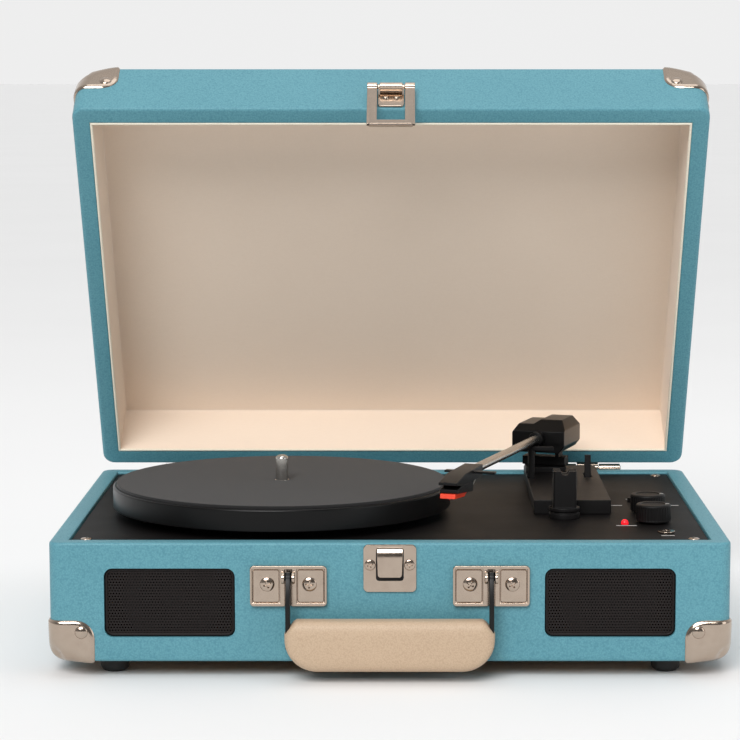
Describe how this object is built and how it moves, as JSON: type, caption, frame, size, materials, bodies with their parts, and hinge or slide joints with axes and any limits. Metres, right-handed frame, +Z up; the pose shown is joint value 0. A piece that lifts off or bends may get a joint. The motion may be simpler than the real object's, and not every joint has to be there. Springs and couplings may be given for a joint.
{
  "type": "suitcase record player",
  "caption": "Portable record player in a hinged, leatherette-covered case with belt-driven platter, tonearm, built-in speakers, drop latch and folding handle.",
  "frame": {"origin": "on the surface it stands on, under the middle of the box round the whole player with its lid open", "axes": "+X to the right and +Y to the back, seen by the person using it; +Z up"},
  "size_m": [0.3608, 0.3138, 0.3183],
  "materials": {
    "turquoise_leatherette": "grained, satin",
    "cream_leatherette": "fine grain, satin",
    "cream_lining": "paper-backed cloth, matt",
    "nickel": "bright nickel plate",
    "black_plastic": "fine texture",
    "black_gloss_plastic": "moulded, semi-gloss",
    "deck_black": "fine texture",
    "grille_black": "matt black paint",
    "zinc_steel": "zinc plated",
    "spindle_steel": "turned, bright",
    "tube_aluminium": "drawn, satin",
    "brass": "turned",
    "rubber": "matt",
    "felt": "short felt",
    "board_wood": "raw fibreboard",
    "circuit_green": "solder resist",
    "cone_paper": "pressed paper",
    "stylus_red": "translucent moulded",
    "led_red": "diffused lens"
  },
  "bodies": {
    "base": {"base_frame": "turquoise_leatherette", "glue_blocks": "board_wood", "bottom_panel": "board_wood", "underside_screws": "zinc_steel", "deck_plate": "deck_black", "deck_screws": "nickel", "speaker_grilles": "grille_black", "speaker_frames": "zinc_steel", "speaker_cones": "cone_paper", "base_corners": "nickel", "base_rivets": "nickel", "feet": "rubber", "handle_brackets": "nickel", "bracket_screws": "nickel", "catch_plate": "nickel", "catch_screws": "nickel", "hinge_base_leaves": "nickel", "motor": "zinc_steel", "drive_belt": "rubber", "spindle_bearing": "brass", "amplifier_board": "circuit_green", "control_pots": "zinc_steel", "jack_plate": "black_plastic", "rear_sockets": "zinc_steel", "headphone_jack": "nickel", "power_led": "led_red", "arm_board": "black_plastic", "arm_tower": "black_plastic", "arm_rest": "black_plastic", "record_adapter": "black_plastic"},
    "lid": {"lid_frame": "turquoise_leatherette", "lid_lining": "cream_lining", "lid_corners": "nickel", "lid_rivets": "nickel", "hinge_lid_leaves": "nickel", "hinge_pins": "zinc_steel", "latch_plate": "nickel", "latch_rivets": "nickel"},
    "latch": {"latch_bail": "nickel"},
    "handle": {"handle_grip": "cream_leatherette", "handle_straps": "grille_black"},
    "platter": {"platter": "black_gloss_plastic", "platter_mat": "felt", "spindle": "spindle_steel"},
    "pulley": {"motor_pulley": "brass"},
    "swivel": {"arm_yoke": "black_plastic"},
    "tonearm": {"arm_block": "black_gloss_plastic", "arm_pin": "zinc_steel", "arm_tube": "tube_aluminium", "headshell": "black_gloss_plastic", "cartridge": "black_plastic", "stylus": "stylus_red"},
    "cue_lever": {"cue_lever": "black_plastic"},
    "cue_lift": {"cue_lift": "black_plastic"},
    "volume_knob": {"volume_knob": "black_plastic"},
    "tone_knob": {"tone_knob": "black_plastic"},
    "source_button": {"source_button": "black_plastic"},
    "speed_switch": {"speed_switch": "black_plastic"},
    "auto_stop_switch": {"auto_stop_switch": "black_plastic"}
  },
  "joints": [
    {"name": "lid_hinge", "type": "hinge", "parent": "base", "child": "lid", "pos_m": [0, 0.11933, 0.0725], "axis": [1, 0, 0], "range_deg": [0, 59]},
    {"name": "latch_swing", "type": "hinge", "parent": "lid", "child": "latch", "pos_m": [0, -0.00251, 0.30635], "axis": [1, 0, 0], "range_deg": [-135, 2.5]},
    {"name": "handle_swing", "type": "hinge", "parent": "base", "child": "handle", "pos_m": [0, -0.14437, 0.0543], "axis": [-1, 0, 0], "range_deg": [0, 100]},
    {"name": "platter_spin", "type": "hinge", "parent": "base", "child": "platter", "pos_m": [-0.061, -0.03137, 0.072], "axis": [0, 0, 1], "continuous": true},
    {"name": "pulley_spin", "type": "hinge", "parent": "base", "child": "pulley", "pos_m": [-0.11686, 0.02449, 0.072], "axis": [0, 0, 1], "continuous": true},
    {"name": "arm_swing", "type": "hinge", "parent": "base", "child": "swivel", "pos_m": [0.0915, 0.06963, 0.08], "axis": [0, 0, 1], "range_deg": [-21, 20.4]},
    {"name": "arm_tilt", "type": "hinge", "parent": "swivel", "child": "tonearm", "pos_m": [0.0915, 0.06963, 0.1], "axis": [0.9488, -0.3159, 0], "range_deg": [-18, 0]},
    {"name": "cue_lever_swing", "type": "hinge", "parent": "base", "child": "cue_lever", "pos_m": [0.1155, 0.05063, 0.0755], "axis": [1, 0, 0], "range_deg": [0, 45]},
    {"name": "cue_lift_slide", "type": "slide", "parent": "base", "child": "cue_lift", "axis": [0, 0, -1], "range_m": [0, 0.005]},
    {"name": "volume_turn", "type": "hinge", "parent": "base", "child": "volume_knob", "pos_m": [0.1435, -0.06737, 0.0705], "axis": [0, 0, 1], "range_deg": [-150, 150]},
    {"name": "tone_turn", "type": "hinge", "parent": "base", "child": "tone_knob", "pos_m": [0.1435, -0.03287, 0.0705], "axis": [0, 0, 1], "range_deg": [-150, 150]},
    {"name": "button_press", "type": "slide", "parent": "base", "child": "source_button", "axis": [0, 0, -1], "range_m": [0, 0.0015], "stiffness_N_per_m": 400},
    {"name": "speed_slide", "type": "slide", "parent": "base", "child": "speed_switch", "axis": [0, 1, 0], "range_m": [0, 0.006]},
    {"name": "auto_stop_slide", "type": "slide", "parent": "base", "child": "auto_stop_switch", "axis": [0, 1, 0], "range_m": [0, 0.006]}
  ],
  "couplings": [
    {"joint": "pulley_spin", "follows": "platter_spin", "ratio": 10.083},
    {"joint": "cue_lift_slide", "follows": "cue_lever_swing", "m_per_rad": 0.0063662}
  ]
}
